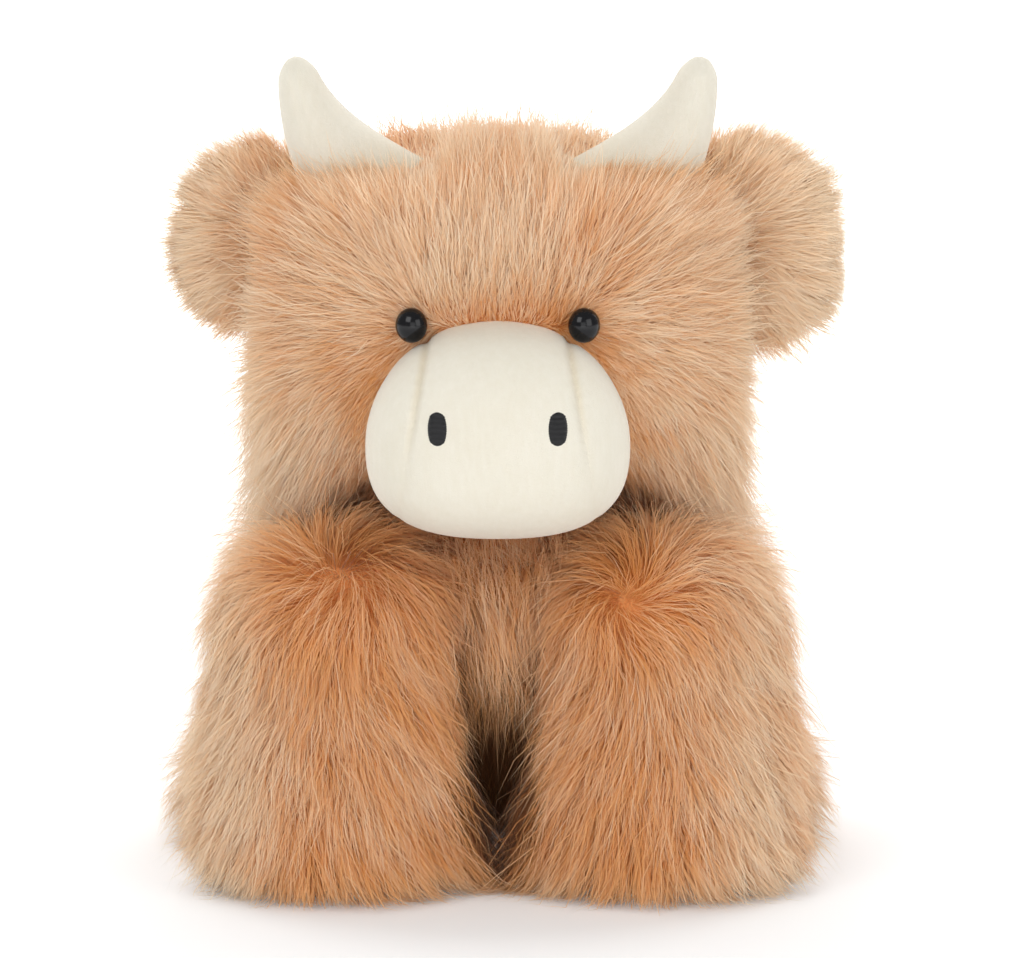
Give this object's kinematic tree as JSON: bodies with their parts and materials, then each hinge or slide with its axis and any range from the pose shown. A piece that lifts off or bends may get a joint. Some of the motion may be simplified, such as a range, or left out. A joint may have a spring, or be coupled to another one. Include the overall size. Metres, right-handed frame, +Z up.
{
  "type": "plush cow",
  "caption": "Seated plush highland cow in long tan fur with cream velour muzzle and horns; head, ears, legs and tail bend at their seams.",
  "frame": {"origin": "middle of the flat of the torso's seat, on the floor", "axes": "+Z up, the cow faces -Y, and its own left side is at +X"},
  "size_m": [0.206, 0.2183, 0.273],
  "materials": {
    "long_pile_fur": "matte",
    "cream_velour": "matte",
    "fibre_filling": "matte",
    "pouch_cloth": "matte",
    "black_thread": "satin",
    "black_bead": "gloss",
    "washer_plastic": "matte"
  },
  "bodies": {
    "torso": {"body_skin": "long_pile_fur", "body_filling": "fibre_filling", "pellet_pouch": "pouch_cloth"},
    "head": {"head_skin": "long_pile_fur", "head_filling": "fibre_filling", "muzzle_middle_panel": "cream_velour", "muzzle_left_panel": "cream_velour", "muzzle_right_panel": "cream_velour", "muzzle_filling": "fibre_filling", "nostril_left": "black_thread", "nostril_right": "black_thread", "eye_left": "black_bead", "eye_right": "black_bead", "eye_washer_left": "washer_plastic", "eye_washer_right": "washer_plastic", "horn_left": "cream_velour", "horn_right": "cream_velour", "horn_filling_left": "fibre_filling", "horn_filling_right": "fibre_filling"},
    "tail": {"tail": "long_pile_fur", "tail_tuft": "long_pile_fur"},
    "ear_left": {"ear_front_left": "long_pile_fur", "ear_back_left": "long_pile_fur"},
    "front_leg_left": {"front_leg_left": "long_pile_fur", "front_leg_filling_left": "fibre_filling"},
    "hind_leg_left": {"hind_leg_left": "long_pile_fur", "hind_leg_filling_left": "fibre_filling"},
    "ear_right": {"ear_front_right": "long_pile_fur", "ear_back_right": "long_pile_fur"},
    "front_leg_right": {"front_leg_right": "long_pile_fur", "front_leg_filling_right": "fibre_filling"},
    "hind_leg_right": {"hind_leg_right": "long_pile_fur", "hind_leg_filling_right": "fibre_filling"}
  },
  "joints": [
    {"name": "head_nod", "type": "hinge", "parent": "torso", "child": "head", "pos_m": [0, -0.023, 0.115], "axis": [-1, 0, 0], "range_deg": [-6, 15], "stiffness_Nm_per_rad": 0.8},
    {"name": "ear_left_fold", "type": "hinge", "parent": "head", "child": "ear_left", "pos_m": [0.078, -0.022, 0.209], "axis": [0.2079, 0, -0.9781], "range_deg": [-25, 25], "stiffness_Nm_per_rad": 0.02},
    {"name": "front_leg_left_swing", "type": "hinge", "parent": "torso", "child": "front_leg_left", "pos_m": [0.054, -0.066, 0.084], "axis": [-1, 0, 0], "range_deg": [0, 55], "stiffness_Nm_per_rad": 0.08},
    {"name": "hind_leg_left_splay", "type": "hinge", "parent": "torso", "child": "hind_leg_left", "pos_m": [0.072, 0.008, 0.025], "axis": [0, 0, 1], "range_deg": [0, 30], "stiffness_Nm_per_rad": 0.05},
    {"name": "ear_right_fold", "type": "hinge", "parent": "head", "child": "ear_right", "pos_m": [-0.078, -0.022, 0.209], "axis": [0.2079, 0, 0.9781], "range_deg": [-25, 25], "stiffness_Nm_per_rad": 0.02},
    {"name": "front_leg_right_swing", "type": "hinge", "parent": "torso", "child": "front_leg_right", "pos_m": [-0.054, -0.066, 0.084], "axis": [-1, 0, 0], "range_deg": [0, 55], "stiffness_Nm_per_rad": 0.08},
    {"name": "hind_leg_right_splay", "type": "hinge", "parent": "torso", "child": "hind_leg_right", "pos_m": [-0.072, 0.008, 0.025], "axis": [0, 0, -1], "range_deg": [0, 30], "stiffness_Nm_per_rad": 0.05},
    {"name": "tail_lift", "type": "hinge", "parent": "torso", "child": "tail", "pos_m": [0, 0.05807, 0.052], "axis": [1, 0, 0], "range_deg": [0, 60], "stiffness_Nm_per_rad": 0.02}
  ]
}
